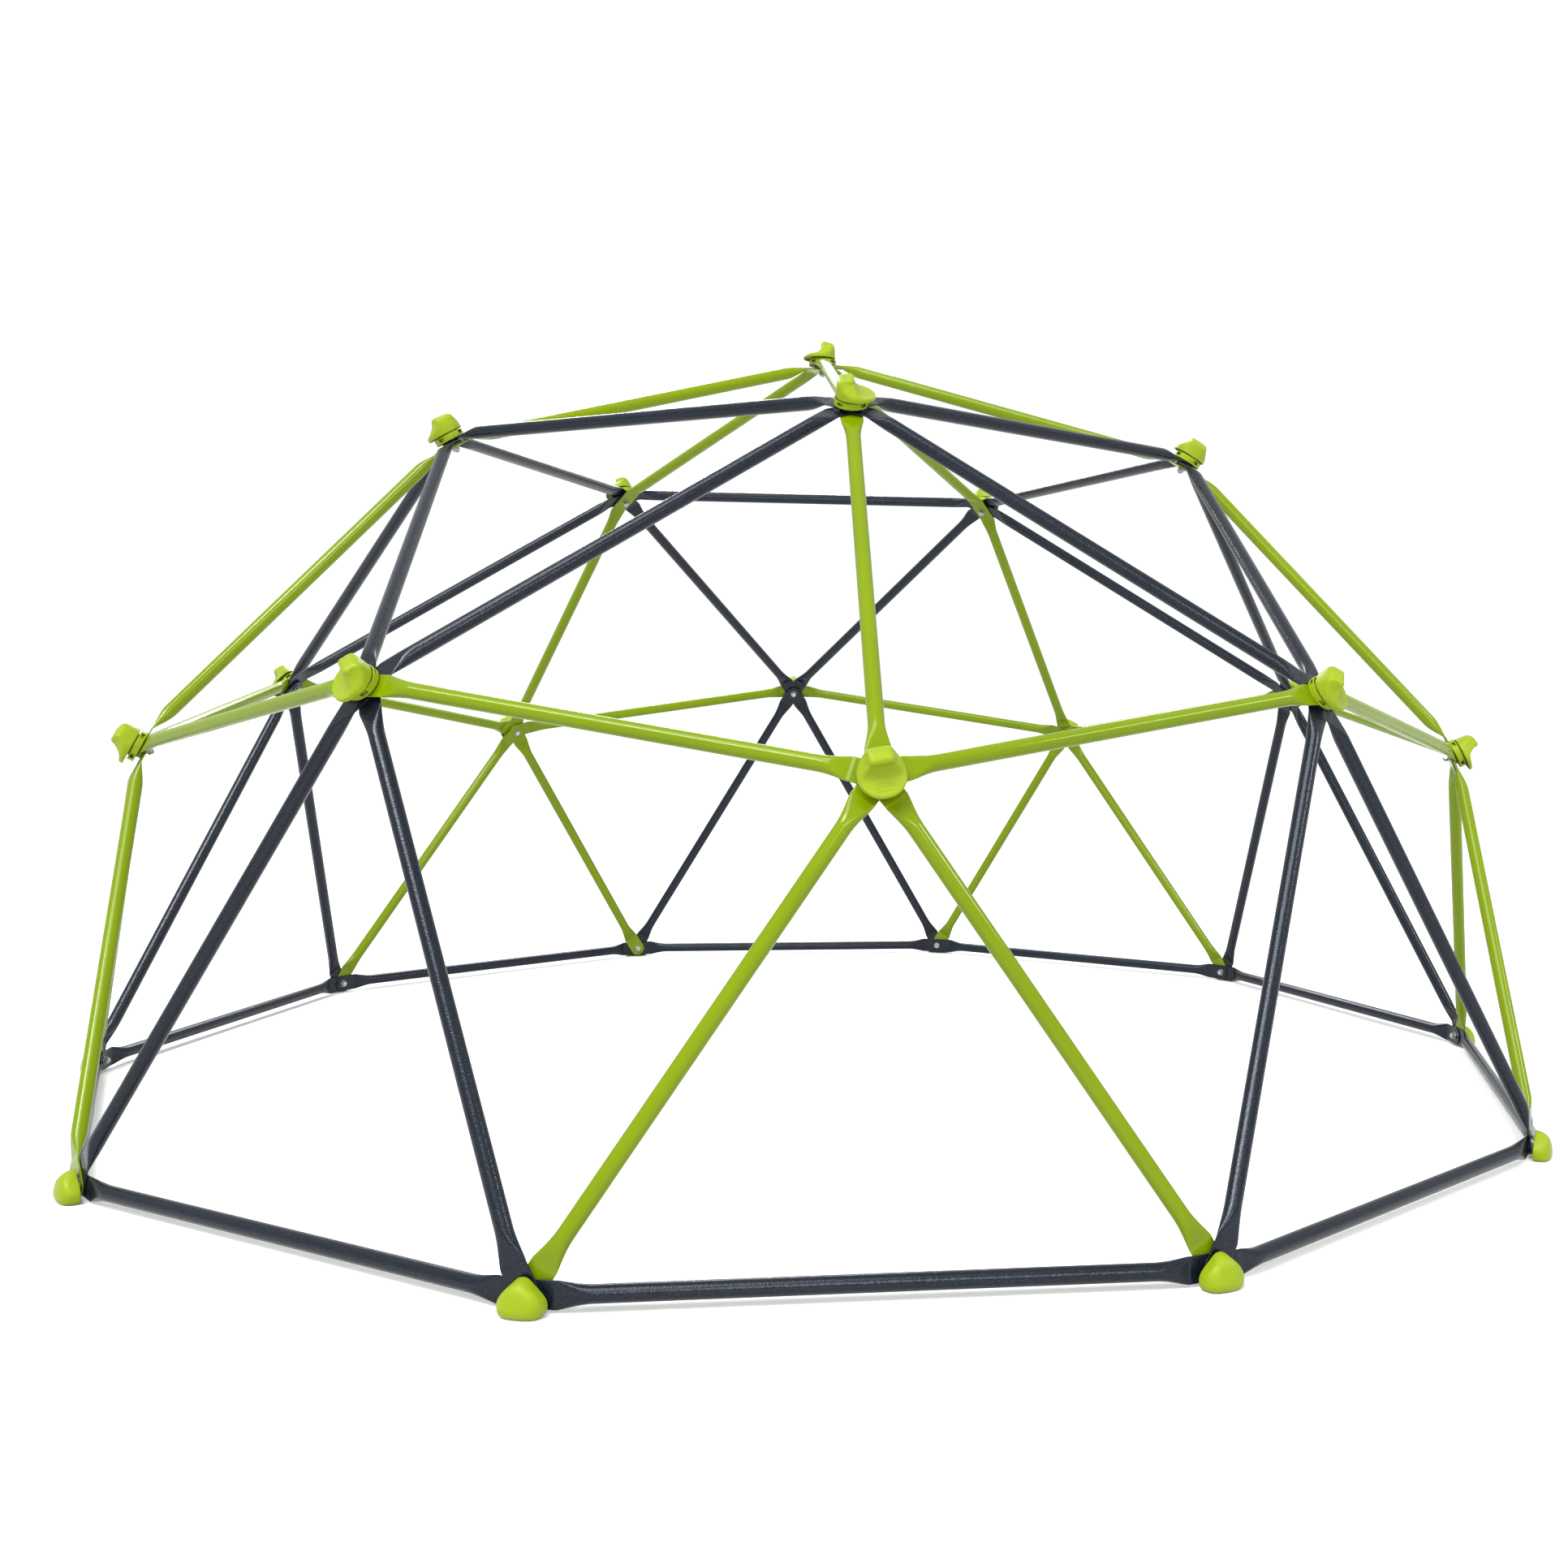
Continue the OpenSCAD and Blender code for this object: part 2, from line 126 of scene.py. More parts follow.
def in_frame(origin, x_axis, z_axis):
    placed = np.eye(4)
    placed[:3, 0], placed[:3, 1], placed[:3, 2] = x_axis, np.cross(z_axis, x_axis), z_axis
    placed[:3, 3] = origin
    return placed


def turned(degrees):
    return np.array(Matrix.Rotation(math.radians(degrees), 4, "Z"))


def on_hub(hub, height, heading=0):
    """A frame on a hub: z leaves the dome, and x is turned from the direction of the crown"""
    rise = np.array([0.0, -1.0, 0.0]) if hub[2] > 1 - 1e-9 else unit(CROWN - hub * hub[2])
    origin = np.array([0, 0, BASE_H]) + hub * (DOME_R + height)
    return in_frame(origin, rise, hub) @ turned(heading)


# ---- Materials ----

MIX_A, MIX_B, MIX_RESULT = 6, 7, 2     # a mix node's colour sockets, whose names aren't unique


class Shader:
    """A node material with short ways to add the nodes that these finishes share"""

    def __init__(self, name, **sockets):
        self.material = bpy.data.materials.new(name)
        self.material.use_nodes = True
        self.nodes, self.links = self.material.node_tree.nodes, self.material.node_tree.links
        self.surface = self.nodes["Principled BSDF"]
        for socket, value in sockets.items():
            self.surface.inputs[socket.replace("_", " ")].default_value = value
        self.place = self.nodes.new("ShaderNodeTexCoord").outputs["Object"]

    def noise(self, scale, detail=3.0, rough=0.55, stretch=None):
        node = self.nodes.new("ShaderNodeTexNoise")
        node.inputs["Scale"].default_value = scale
        node.inputs["Detail"].default_value = detail
        node.inputs["Roughness"].default_value = rough
        self.links.new(self.stretched(stretch) if stretch else self.place, node.inputs["Vector"])
        return node.outputs["Fac"]

    def stretched(self, stretch):
        node = self.nodes.new("ShaderNodeMapping")
        node.inputs["Scale"].default_value = stretch
        self.links.new(self.place, node.inputs["Vector"])
        return node.outputs["Vector"]

    def cells(self, scale):
        node = self.nodes.new("ShaderNodeTexVoronoi")
        node.feature = "SMOOTH_F1"
        node.inputs["Scale"].default_value = scale
        node.inputs["Smoothness"].default_value = 1.0
        self.links.new(self.place, node.inputs["Vector"])
        return node.outputs["Distance"]

    def ranged(self, value, low, high, out_low, out_high):
        node = self.nodes.new("ShaderNodeMapRange")
        sockets = ("From Min", "From Max", "To Min", "To Max")
        for socket, number in zip(sockets, (low, high, out_low, out_high)):
            node.inputs[socket].default_value = number
        self.links.new(value, node.inputs["Value"])
        return node.outputs["Result"]

    def blend(self, factor, first, second):
        """Mixes two colours, each a tuple or another node's output"""
        node = self.nodes.new("ShaderNodeMix")
        node.data_type = "RGBA"
        self.links.new(factor, node.inputs["Factor"])
        for socket, colour in ((node.inputs[MIX_A], first), (node.inputs[MIX_B], second)):
            if isinstance(colour, tuple):
                socket.default_value = linear(colour)
            else:
                self.links.new(colour, socket)
        return node.outputs[MIX_RESULT]

    def bump(self, height, strength, distance, under=None):
        node = self.nodes.new("ShaderNodeBump")
        node.inputs["Strength"].default_value = strength
        node.inputs["Distance"].default_value = distance
        self.links.new(height, node.inputs["Height"])
        if under is not None:
            self.links.new(under, node.inputs["Normal"])
        return node.outputs["Normal"]

    def drive(self, socket, output):
        self.links.new(output, self.surface.inputs[socket])


def linear(colour):
    """A screen colour, each channel from 0 to 255, as scene light"""
    scaled = [c / 255 for c in colour]
    return tuple(c / 12.92 if c <= 0.04045 else ((c + 0.055) / 1.055) ** 2.4 for c in scaled) + (1.0,)


def gloss_paint():
    """Glossy lime-green powder coat: orange peel, slow colour drift and fine rub marks"""
    s = Shader("gloss_lime_paint", Coat_Weight=0.32, Coat_Roughness=0.1, Specular_IOR_Level=0.04,
               Specular_Tint=(0.6, 0.9, 0.05, 1.0))
    drift = s.ranged(s.noise(3.0, 2.0), 0.35, 0.65, 0.0, 1.0)
    base = s.blend(drift, (88, 106, 0), (93, 111, 0))
    rubs = s.ranged(s.noise(90.0, 6.0, 0.7), 0.66, 0.8, 0.0, 0.2)
    base = s.blend(rubs, base, (83, 101, 2))
    s.drive("Base Color", base)
    s.drive("Roughness", s.ranged(s.noise(60.0, 4.0), 0.3, 0.7, 0.24, 0.36))
    s.drive("Normal", s.bump(s.noise(420.0, 2.0), 0.05, 0.0005))
    return s.material


def hammered_paint():
    """Charcoal hammered powder coat: small dimples with a metallic fleck"""
    s = Shader("hammered_charcoal_paint", Metallic=0.3, Coat_Weight=0.34, Coat_Roughness=0.15,
               Specular_IOR_Level=0.04)
    drift = s.ranged(s.noise(4.0, 2.0), 0.35, 0.65, 0.0, 1.0)
    base = s.blend(drift, (9, 14, 21), (12, 17, 25))
    fleck = s.ranged(s.noise(900.0, 2.0, 0.6), 0.52, 0.68, 0.0, 0.8)
    base = s.blend(fleck, base, (42, 52, 66))
    s.drive("Base Color", base)
    s.drive("Roughness", s.ranged(s.noise(700.0, 2.0), 0.35, 0.65, 0.24, 0.44))
    dimples = s.bump(s.cells(430.0), 0.4, 0.0006)
    grain = s.bump(s.noise(1100.0, 2.0), 0.3, 0.0003, dimples)
    s.drive("Normal", grain)
    s.drive("Coat Normal", grain)
    return s.material


def moulded_plastic():
    """Satin lime plastic: fine mould grain, faint flow marks and scuffs"""
    s = Shader("moulded_lime_plastic", Specular_IOR_Level=0.35, Specular_Tint=(0.8, 0.95, 0.4, 1.0),
               Subsurface_Weight=0.06, Subsurface_Scale=0.003)
    s.surface.inputs["Subsurface Radius"].default_value = (0.6, 1.0, 0.2)
    flow = s.ranged(s.noise(14.0, 3.0, 0.5, (1.0, 1.0, 2.6)), 0.3, 0.7, 0.0, 1.0)
    base = s.blend(flow, (107, 123, 8), (113, 130, 12))
    scuff = s.ranged(s.noise(70.0, 8.0, 0.75), 0.64, 0.8, 0.0, 0.4)
    base = s.blend(scuff, base, (130, 148, 32))
    s.drive("Base Color", base)
    s.drive("Roughness", s.ranged(s.noise(120.0, 5.0), 0.3, 0.7, 0.38, 0.54))
    s.drive("Normal", s.bump(s.noise(1500.0, 3.0), 0.12, 0.0004))
    return s.material


def zinc_plate():
    """Bright zinc plating: slightly clouded, with a blue and a warm cast"""
    s = Shader("zinc_plate", Metallic=1.0)
    cloud = s.ranged(s.noise(180.0, 4.0), 0.35, 0.65, 0.0, 1.0)
    base = s.blend(cloud, (142, 147, 154), (170, 169, 162))
    s.drive("Base Color", base)
    s.drive("Roughness", s.ranged(s.noise(420.0, 4.0), 0.3, 0.7, 0.2, 0.42))
    s.drive("Normal", s.bump(s.noise(1600.0, 2.0), 0.1, 0.0002))
    return s.material


def pale_floor():
    s = Shader("pale_floor", IOR=1.3)
    s.drive("Base Color", s.blend(s.noise(0.7, 2.0), (212, 212, 211), (217, 217, 216)))
    s.drive("Roughness", s.ranged(s.noise(5.0, 3.0), 0.3, 0.7, 0.75, 0.9))
    return s.material


GREEN, DARK, LIME, ZINC = gloss_paint(), hammered_paint(), moulded_plastic(), zinc_plate()

# ---- Making pieces ----


class Shape:
    """Vertices in millimetres and faces, which can be placed, copied and joined"""

    def __init__(self, verts, faces):
        self.verts, self.faces = np.asarray(verts, float), [list(map(int, f)) for f in faces]

    def placed(self, matrix):
        moved = self.verts @ matrix[:3, :3].T + matrix[:3, 3]
        return Shape(moved, self.faces)


def joined(shapes):
    verts, faces, count = [], [], 0
    for shape in shapes:
        verts.append(shape.verts)
        faces += [[v + count for v in f] for f in shape.faces]
        count += len(shape.verts)
    return Shape(np.vstack(verts), faces)


def piece(name, shape, material, node, sharp=40):
    """Makes a shape in the row frame into a piece that rides on the frame, and hides the frame's node whose
    place it takes
    """
    mesh = bpy.data.meshes.new(name)
    mesh.from_pydata((shape.verts * MM).tolist(), [], shape.faces)
    mesh.update()
    mesh.shade_smooth()
    mesh.set_sharp_from_angle(angle=math.radians(sharp))
    mesh.materials.append(material)
    obj = bpy.data.objects.new(name, mesh)
    bpy.context.scene.collection.objects.link(obj)
    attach(obj, "root")
    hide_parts(node)
    return obj


# ---- Tubes ----

FLAT_STEPS, EDGE_STEPS = 4, 4          # steps on a quarter of a section, on its flat and its edge
QUARTER = FLAT_STEPS + EDGE_STEPS
AROUND = 4 * QUARTER
BEND_R = 14.0                          # rounding of the bend at the end of a tab
DRAIN_AT = 2 * CRIMP                   # drain hole, from the bend at the tube's start
DRAIN_R, DRAIN_PATCH, DRAIN_DEEP = 1.5, 3.0, 4.0
TAB_FLAT = TAB_R - TAB_HALF_T


def section(flat, r):
    """A section with flat faces and round edges, from the middle of the upper face towards +y"""
    opened = (r - TAB_HALF_T) / (TUBE_R - TAB_HALF_T)
    first = math.pi / 2 * FLAT_STEPS / QUARTER * opened
    lengths = np.arange(FLAT_STEPS) / FLAT_STEPS * (flat + r * first)
    angles = np.concatenate([
        np.maximum(lengths - flat, 0) / r,
        first + (math.pi / 2 - first) * np.arange(EDGE_STEPS + 1) / EDGE_STEPS,
    ])
    y = flat + r * np.sin(angles)
    y[:FLAT_STEPS] = np.minimum(lengths, flat) + r * np.sin(angles[:FLAT_STEPS])
    z = r * np.cos(angles)
    return (
        np.concatenate([y, y[-2::-1], -y[1:], -y[-2:0:-1]]),
        np.concatenate([z, -z[-2::-1], -z[1:], z[-2:0:-1]]),
    )


def crimped(t):
    """Flat and edge radius of a section, from the tab at t = 0 to the round tube at t = 1"""
    opened = math.sin(math.pi / 2 * t) ** 1.2
    r = TAB_HALF_T + (TUBE_R - TAB_HALF_T) * opened
    around = (4 * TAB_FLAT + 2 * math.pi * TAB_HALF_T) * (1 - t) + 2 * math.pi * TUBE_R * t
    return max((around - 2 * math.pi * r) / 4, 0.0), r


def end_rows(angle):
    """Rows of a tube's end from the tip of its tab to the round tube: place, up, flat and radius.
    The bend is at the origin, and the bolt axis is TAB_REACH before it."""
    along, up = np.array([math.cos(angle), math.sin(angle)]), np.array([-math.sin(angle), math.cos(angle)])
    rows = []
    for tip in (9, 20, 32, 45):
        t = math.radians(tip)
        rows.append((-TAB_R * math.cos(t), TAB_R * math.sin(t)))
    hole_from = len(rows)
    step = TAB_FLAT / FLAT_STEPS
    for k in range(-2, 3):
        rows.append((k * step, math.sqrt(TAB_R**2 - min(k * step, 0) ** 2)))
    tangent = BEND_R * math.tan(angle / 2)
    for d in (15.0, 22.0, 30.0, TAB_REACH - tangent):
        rows.append((d, TAB_R))
    made = [(along * (d - TAB_REACH), up, w - TAB_HALF_T, TAB_HALF_T) for d, w in rows]
    for k in (1, 2, 3, 4):
        a = angle * (1 - k / 4)
        centre = np.array([tangent, -BEND_R])
        turned_up = np.array([-math.sin(a), math.cos(a)])
        made.append((centre + BEND_R * turned_up, turned_up, TAB_FLAT, TAB_HALF_T))
    for t in (0.05, 0.12, 0.2, 0.29, 0.38, 0.47, 0.56, 0.65, 0.74, 0.83, 0.92, 1.0):
        made.append((np.array([tangent + (CRIMP - tangent) * t, 0]), np.array([0.0, 1.0]), *crimped(t)))
    return made, hole_from


def tube(p, q, height_p, height_q):
    """A tube between hubs p and q, with its tabs at the given stack heights"""
    leave_p, leave_q = unit(q - p * (p @ q)), unit(p - q * (p @ q))
    start = p * (DOME_R + height_p) + leave_p * TAB_REACH
    end = q * (DOME_R + height_q) + leave_q * TAB_REACH
    length = np.linalg.norm(end - start)
    along = (end - start) / length
    rows_p, hole_p = end_rows(math.acos(leave_p @ along))
    rows_q, hole_q = end_rows(math.acos(-leave_q @ along))
    mirror = np.array([-1.0, 1.0])
    rows_q = [(np.array([length, 0]) + at * mirror, up * mirror, f, r) for at, up, f, r in reversed(rows_q)]
    drain = [
        (np.array([DRAIN_AT + dx, 0]), np.array([0.0, 1.0]), 0.0, TUBE_R)
        for dx in (-DRAIN_PATCH, 0.0, DRAIN_PATCH)
    ]
    rows = rows_p + drain + rows_q
    count = len(rows)
    holes = [hole_p, count - 1 - hole_q - 4]

    verts = []
    for at, up, flat, r in rows:
        y, z = section(flat, r)
        verts.append(np.column_stack([at[0] + up[0] * z, y, at[1] + up[1] * z]))
    verts = np.vstack(verts)
    extra, faces, skip = [], [], set()

    def index(row, column):
        return row * AROUND + column % AROUND

    def window(first, middle_column, span, half, sign):
        """The edge of a patch that is left out, anticlockwise seen from outside"""
        for row in range(first, first + span):
            for column in range(middle_column - half, middle_column + half):
                skip.add((row, column % AROUND))
        last = first + span
        loop = [(row, -half) for row in range(first, last)]
        loop += [(last, c) for c in range(-half, half)]
        loop += [(row, half) for row in range(last, first, -1)]
        loop += [(first, c) for c in range(half, -half, -1)]
        return [index(row, middle_column + sign * c) for row, c in loop]

    def inner_loop(points):
        extra.extend(points)
        return list(range(len(verts) + len(extra) - len(points), len(verts) + len(extra)))

    def band(outer, inner):
        for k in range(len(outer)):
            n = (k + 1) % len(outer)
            faces.append([outer[k], outer[n], inner[n], inner[k]])

    for first in holes:
        upper = window(first, 0, 4, 2, 1)
        lower = window(first, 2 * QUARTER, 4, 2, -1)
        at, up = rows[first + 2][0], rows[first + 2][1]
        ahead = np.array([up[1], -up[0]])
        loops = []
        for edge, side in ((upper, 1), (lower, -1)):
            points = []
            for v in edge:
                d = (verts[v][[0, 2]] - at) @ ahead
                a = math.atan2(verts[v][1], d)
                place = at + ahead * HOLE_R * math.cos(a) + up * side * TAB_HALF_T
                points.append(np.array([place[0], HOLE_R * math.sin(a), place[1]]))
            loops.append(inner_loop(points))
        band(upper, loops[0])
        band(loops[0], loops[1])
        band(loops[1], lower)

    # The drain hole, in the middle of the inner side
    first = len(rows_p)
    edge = window(first, 2 * QUARTER, 2, 1, 1)
    rim, deep = [], []
    for v in edge:
        a = math.atan2(verts[v][1], verts[v][0] - DRAIN_AT)
        x, y = DRAIN_AT + DRAIN_R * math.cos(a), DRAIN_R * math.sin(a)
        rim.append(np.array([x, y, -math.sqrt(TUBE_R**2 - y * y)]))
        deep.append(np.array([x, y, -TUBE_R + DRAIN_DEEP]))
    rim, deep = inner_loop(rim), inner_loop(deep)
    band(edge, rim)
    band(rim, deep)
    faces.append(deep)

    for row in range(count - 1):
        for column in range(AROUND):
            if (row, column) not in skip:
                faces.append([
                    index(row, column), index(row + 1, column),
                    index(row + 1, column + 1), index(row, column + 1),
                ])
    faces.append([index(0, c) for c in range(AROUND)])
    faces.append([index(count - 1, c) for c in range(AROUND - 1, -1, -1)])
    shape = Shape(np.vstack([verts, extra]), faces)
    origin = np.array([0, 0, BASE_H]) + start
    return shape.placed(in_frame(origin, along, np.cross(along, unit(np.cross(p, q)))))


def tubes():
    count = 2 * SIDES
    for i in range(count):
        k = (i + 1) % count
        made = tube(FEET[i], FEET[k], foot_layer(i, LEAVING_RAIL), foot_layer(k, ARRIVING_RAIL))
        piece(f"base_tube_{i + 1}", made, DARK, f"base_rail_{i + 1}")
    for i in range(SIDES):
        n = i + 1
        left, right, after = 2 * i, 2 * i + 1, (2 * i + 2) % count
        for name, paint, slot, node, ends in (
            ("crown_tube_%d", GREEN, "green_tube", "crown_spoke_%d",
             (CROWN, ring(i), layer(i, CROWN_TABS), layer(5, RING_TABS))),
            ("ring_tube_%d", DARK, "dark_tube", "ring_rail_%d",
             (ring(i), ring(i + 1), layer(0, RING_TABS), layer(1, RING_TABS))),
            ("shoulder_tube_%d", GREEN, "green_tube", "shoulder_bar_%d",
             (ring(i), corner(i), layer(4, RING_TABS), layer(0, CORNER_TABS))),
            ("brace_tube_%d_a", DARK, "dark_tube", "shoulder_braces_%d",
             (ring(i), middle(i), layer(2, RING_TABS), layer(2, MIDDLE_TABS))),
            ("brace_tube_%d_b", DARK, "dark_tube", "shoulder_braces_%d",
             (ring(i + 1), middle(i), layer(3, RING_TABS), layer(3, MIDDLE_TABS))),
            ("belt_tube_%d_a", GREEN, "green_tube", "belt_rails_%d",
             (corner(i), middle(i), layer(1, CORNER_TABS), layer(0, MIDDLE_TABS))),
            ("belt_tube_%d_b", GREEN, "green_tube", "belt_rails_%d",
             (corner(i), middle(i - 1), layer(2, CORNER_TABS), layer(1, MIDDLE_TABS))),
            ("corner_tube_%d_a", GREEN, "green_tube", "corner_legs_%d",
             (corner(i), FEET[left], layer(3, CORNER_TABS), foot_layer(left, CORNER_LEG))),
            ("corner_tube_%d_b", GREEN, "green_tube", "corner_legs_%d",
             (corner(i), FEET[right], layer(4, CORNER_TABS), foot_layer(right, CORNER_LEG))),
            ("middle_tube_%d_a", DARK, "dark_tube", "middle_legs_%d",
             (middle(i), FEET[right], layer(4, MIDDLE_TABS), foot_layer(right, MIDDLE_LEG))),
            ("middle_tube_%d_b", DARK, "dark_tube", "middle_legs_%d",
             (middle(i), FEET[after], layer(5, MIDDLE_TABS), foot_layer(after, MIDDLE_LEG))),
        ):
            piece(name % n, tube(*ends), paint, node % n)


# ---- Moulded shapes, as distance fields turned into meshes ----


def smooth_max(a, b, k):
    near = np.maximum(k - np.abs(a - b), 0) / k
    return np.maximum(a, b) + near * near * k / 4


def smooth_min(a, b, k):
    return -smooth_max(-a, -b, k)


def curve(points, steps=8):
    """A smooth open curve through the points"""
    pts = np.asarray(points, float)
    pts = np.vstack([2 * pts[0] - pts[1], pts, 2 * pts[-1] - pts[-2]])
    made = []
    for a, b, c, d in zip(pts, pts[1:], pts[2:], pts[3:]):
        for t in np.arange(steps) / steps:
            made.append(0.5 * (2 * b + (c - a) * t + (2 * a - 5 * b + 4 * c - d) * t * t
                               + (3 * b - a - 3 * c + d) * t**3))
    made.append(pts[-2])
    return np.array(made)


class Outline:
    """Signed distance to a closed outline, looked up in a fine grid"""

    CELL = 0.4
    MARGIN = 20.0

    def __init__(self, points):
        points = np.asarray(points, float)
        self.low = points.min(0) - self.MARGIN
        size = np.ceil((points.max(0) + self.MARGIN - self.low) / self.CELL).astype(int) + 1
        u = self.low[0] + self.CELL * np.arange(size[0])
        v = self.low[1] + self.CELL * np.arange(size[1])
        u, v = np.meshgrid(u, v, indexing="ij")
        nearest, inside = np.full(u.shape, 1e9), np.zeros(u.shape, bool)
        for a, b in zip(points, np.roll(points, -1, 0)):
            run = b - a
            if run @ run < 1e-12:
                continue
            t = np.clip(((u - a[0]) * run[0] + (v - a[1]) * run[1]) / (run @ run), 0, 1)
            nearest = np.minimum(nearest, np.hypot(u - a[0] - t * run[0], v - a[1] - t * run[1]))
            if run[1] != 0:
                crosses = (v >= min(a[1], b[1])) & (v < max(a[1], b[1]))
                inside ^= crosses & (u < a[0] + (v - a[1]) / run[1] * run[0])
        self.grid = np.where(inside, -nearest, nearest)

    def __call__(self, u, v):
        p = np.clip((u - self.low[0]) / self.CELL, 0, self.grid.shape[0] - 1.001)
        q = np.clip((v - self.low[1]) / self.CELL, 0, self.grid.shape[1] - 1.001)
        i, j = p.astype(int), q.astype(int)
        p, q, g = p - i, q - j, self.grid
        return ((g[i, j] * (1 - p) + g[i + 1, j] * p) * (1 - q)
                + (g[i, j + 1] * (1 - p) + g[i + 1, j + 1] * p) * q)


def meshed(field, low, high, cell):
    """A mesh of quads on the zero level of a field, one vertex in each cell that it crosses"""
    axes = [np.arange(a, b + cell, cell) for a, b in zip(low, high)]
    grid = np.meshgrid(*axes, indexing="ij")
    value = field(*grid)
    solid = value < 0
    shape = np.array(value.shape) - 1
    total, number = np.zeros((*shape, 3)), np.zeros(shape)
    corners = [(a, b, c) for a in (0, 1) for b in (0, 1) for c in (0, 1)]

    def cut(offset):
        return tuple(slice(o, o + n) for o, n in zip(offset, shape))

    for a in corners:
        for axis in range(3):
            if a[axis] == 0:
                b = tuple(o + (k == axis) for k, o in enumerate(a))
                va, vb = value[cut(a)], value[cut(b)]
                crossed = (va < 0) != (vb < 0)
                part = np.where(crossed, va / np.where(crossed, va - vb, 1), 0)
                for k in range(3):
                    total[..., k] += crossed * (a[k] + (part if k == axis else 0))
                number += crossed
    used = number > 0
    index = np.full(used.shape, -1)
    index[used] = np.arange(used.sum())
    verts = total[used] / number[used][:, None]
    verts = (verts + np.argwhere(used)) * cell + np.array(low)

    quads = []
    for axis in range(3):
        u, v = (axis + 1) % 3, (axis + 2) % 3
        ahead = [slice(None)] * 3
        ahead[axis] = slice(1, None)
        back = [slice(None)] * 3
        back[axis] = slice(0, -1)
        changes = solid[tuple(back)] != solid[tuple(ahead)]
        for at in np.argwhere(changes):
            if at[u] == 0 or at[v] == 0 or at[u] >= shape[u] or at[v] >= shape[v]:
                continue
            cells = []
            for du, dv in ((-1, -1), (0, -1), (0, 0), (-1, 0)):
                c = at.copy()
                c[u] += du
                c[v] += dv
                cells.append(index[tuple(c)])
            quads.append(cells if solid[tuple(at)] else cells[::-1])

    h = 0.25 * cell
    for _ in range(3):
        here = field(*verts.T)
        slope = np.stack([
            field(*(verts + h * e).T) - field(*(verts - h * e).T) for e in np.eye(3)
        ], 1) / (2 * h)
        step = slope * (here / np.maximum((slope**2).sum(1), 0.25))[:, None]
        size = np.linalg.norm(step, axis=1, keepdims=True)
        verts = verts - step * np.minimum(1, 0.35 * cell / np.maximum(size, 1e-9))
    return Shape(verts, quads)


# Side of a hub cap: the flat brim, the hollow below the crest, the crest and the back
CAP_SIDE = Outline(
    curve([(-43.5, -20), (-43.5, 1), (-42.9, 3.6), (-40.5, 5.2), (-35, 6), (-28, 6.6), (-21, 7.4), (-15, 9.2),
           (-10.4, 13), (-7, 18.6), (-4.2, 24.6), (-1.6, 30), (1, 33.6), (4.5, 36.2), (9.5, 36.8), (16, 35),
           (21.5, 31.8), (25.6, 26.4), (27.6, 17), (28.4, 5), (28.5, -20)])
)
# Half of a hub cap from the front: sides, shoulders and the rounded ends of the crest
CAP_HALF = [(36.8, -20), (36.8, 3), (36.3, 6.5), (33.4, 10.4), (28.6, 15.6), (24, 21), (20.6, 26.6),
            (18.4, 31.5), (16.6, 35.2), (13, 37.6), (8, 38.4), (0, 38.6)]
CAP_FRONT = Outline(curve(CAP_HALF + [(-y, z) for y, z in CAP_HALF[-2::-1]]))
CAP_R, BRIM_OFFSET = 36.0, 7.5
ROLL_AT, ROLL_R, ROLL_HALF = (3.6, 30.0), 7.6, 11.6    # the rounded bar along the crest
GRIPS = ((-34.0, 9.0), (-28.5, 12.0), (-23.0, 9.0))    # place and half length of the grip grooves
GRIP_R, GRIP_LIFT = 1.5, 0.7                           # a groove's rounding, and its middle above the brim
BRIM_PLACES, BRIM_HEIGHTS = (-35, -28, -21), (6.0, 6.6, 7.4)
SKIRT_DROP = 11.0                                      # how far the skirt hangs below the cap
WINDOW_HALF_W, WINDOW_AT, WINDOW_HALF_H, WINDOW_IN = 6.0, 6.5, 3.0, 26.0
SOFT, FINE = 1.2, 0.8                                  # rounding of outer and of small edges


def cap_form(x, y, z):
    """The outer form of a hub cap, with no lower end"""
    plan = np.hypot(x + BRIM_OFFSET, y) - CAP_R
    rim = 1.5 * np.clip(np.abs(y) / 30, 0, 1.1) ** 2 * np.clip((-2 - x) / 10, 0, 1)
    made = smooth_max(plan, CAP_SIDE(x, z - rim), 3.6)
    made = smooth_max(made, CAP_FRONT(y, z), 4.0)
    past_end = np.maximum(np.abs(y) - ROLL_HALF, 0)
    roll = np.sqrt((x - ROLL_AT[0]) ** 2 + (z - ROLL_AT[1]) ** 2 + past_end**2) - ROLL_R
    return smooth_min(made, roll, 1.6)


def cap_field(x, y, z):
    """A hub cap's shell with grip grooves across its brim and a skirt inside"""
    form = cap_form(x, y, z)
    outer = form
    for at, half in GRIPS:
        height = np.interp(at, BRIM_PLACES, BRIM_HEIGHTS)
        reach = np.hypot(x - at, np.maximum(np.abs(y) - half, 0))
        outer = smooth_max(outer, GRIP_R - np.hypot(reach, z - height - GRIP_LIFT), SOFT)
    shell = smooth_max(smooth_max(outer, -z, SOFT), -(form + CAP_WALL), FINE)
    radius = np.hypot(x, y)
    skirt = np.maximum(np.abs(radius - SKIRT_R + CAP_WALL / 2) - CAP_WALL / 2, -z - SKIRT_DROP)
    return smooth_min(shell, np.maximum(skirt, form + CAP_WALL / 2), FINE)


